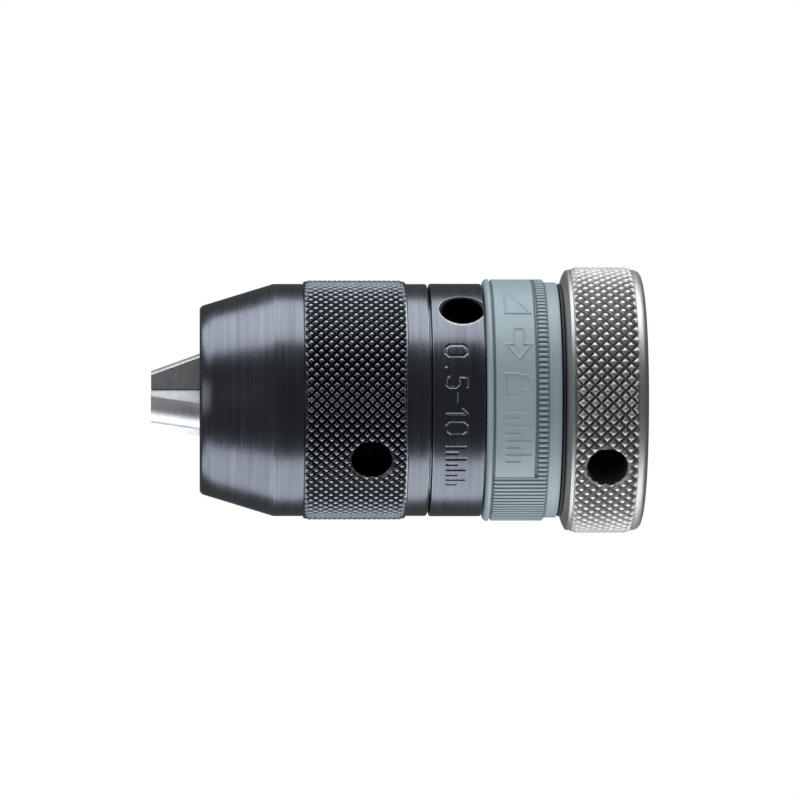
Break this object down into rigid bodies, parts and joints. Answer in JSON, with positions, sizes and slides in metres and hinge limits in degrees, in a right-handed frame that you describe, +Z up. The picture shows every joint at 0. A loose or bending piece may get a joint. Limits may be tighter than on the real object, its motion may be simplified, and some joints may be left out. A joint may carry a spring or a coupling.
{
  "type": "drill chuck",
  "caption": "Keyless drill chuck: tapered nose with sliding jaws, knurled grip sleeve, plastic locking ring and knurled rear holding ring.",
  "frame": {"origin": "on the chuck's axis, at the rear face where the drill spindle enters", "axes": "+X along the axis towards the drill spindle, so the jaws point along -X; +Z up; -Y faces the picture's camera"},
  "size_m": [0.0879, 0.0478, 0.0478],
  "materials": {
    "black_oxide_steel": "black oxide over fine turning",
    "bright_steel": "plain knurled steel",
    "ground_tool_steel": "ground",
    "machined_steel": "turned",
    "blue_grey_plastic": "moulded satin",
    "cage_brass": "stamped",
    "seal_rubber": "matt",
    "spring_steel": "drawn wire"
  },
  "bodies": {
    "body": {"chuck_body": "machined_steel", "rear_ring": "bright_steel", "seal_washer": "seal_rubber", "ratchet_wheel": "machined_steel", "front_race": "ground_tool_steel"},
    "sleeve": {"grip_sleeve": "black_oxide_steel", "jaw_guide": "machined_steel", "bearing_collar": "black_oxide_steel", "rear_race": "ground_tool_steel", "pawl_pin": "machined_steel", "pawl_spring": "spring_steel", "detent_spring": "spring_steel"},
    "screw": {"drive_screw": "machined_steel"},
    "jaw_a": {"jaw_1": "ground_tool_steel"},
    "jaw_b": {"jaw_2": "ground_tool_steel"},
    "jaw_c": {"jaw_3": "ground_tool_steel"},
    "bearing": {"ball_cage": "cage_brass", "ball_01": "ground_tool_steel", "ball_02": "ground_tool_steel", "ball_03": "ground_tool_steel", "ball_04": "ground_tool_steel", "ball_05": "ground_tool_steel", "ball_06": "ground_tool_steel", "ball_07": "ground_tool_steel", "ball_08": "ground_tool_steel", "ball_09": "ground_tool_steel", "ball_10": "ground_tool_steel", "ball_11": "ground_tool_steel", "ball_12": "ground_tool_steel"},
    "lock": {"lock_ring": "blue_grey_plastic"},
    "pawl": {"pawl": "machined_steel"}
  },
  "joints": [
    {"name": "sleeve_turn", "type": "hinge", "parent": "body", "child": "sleeve", "pos_m": [-0.05, 0, 0], "axis": [-1, 0, 0], "range_deg": [0, 1980]},
    {"name": "screw_slide", "type": "slide", "parent": "sleeve", "child": "screw", "axis": [1, 0, 0], "range_m": [0, 0.01376]},
    {"name": "jaw_a_slide", "type": "slide", "parent": "sleeve", "child": "jaw_a", "axis": [0.9397, -0.3144, -0.1347], "range_m": [0, 0.01464]},
    {"name": "jaw_b_slide", "type": "slide", "parent": "sleeve", "child": "jaw_b", "axis": [0.9397, 0.0405, 0.3396], "range_m": [0, 0.01464]},
    {"name": "jaw_c_slide", "type": "slide", "parent": "sleeve", "child": "jaw_c", "axis": [0.9397, 0.2739, -0.2049], "range_m": [0, 0.01464]},
    {"name": "bearing_turn", "type": "hinge", "parent": "body", "child": "bearing", "pos_m": [-0.03455, 0, 0], "axis": [-1, 0, 0], "range_deg": [0, 990.5]},
    {"name": "lock_turn", "type": "hinge", "parent": "sleeve", "child": "lock", "pos_m": [-0.022, 0, 0], "axis": [-1, 0, 0], "range_deg": [0, 25], "deforming": ["detent_spring"]},
    {"name": "pawl_pivot", "type": "hinge", "parent": "sleeve", "child": "pawl", "pos_m": [-0.0225, 0, 0.016], "axis": [-1, 0, 0], "range_deg": [0, 8.8], "deforming": ["pawl_spring"]}
  ],
  "couplings": [
    {"joint": "screw_slide", "follows": "sleeve_turn", "m_per_rad": 0.00039789},
    {"joint": "jaw_a_slide", "follows": "sleeve_turn", "m_per_rad": 0.00042342},
    {"joint": "jaw_b_slide", "follows": "sleeve_turn", "m_per_rad": 0.00042342},
    {"joint": "jaw_c_slide", "follows": "sleeve_turn", "m_per_rad": 0.00042342},
    {"joint": "bearing_turn", "follows": "sleeve_turn", "ratio": 0.5},
    {"joint": "pawl_pivot", "follows": "lock_turn", "ratio": 0.35}
  ]
}
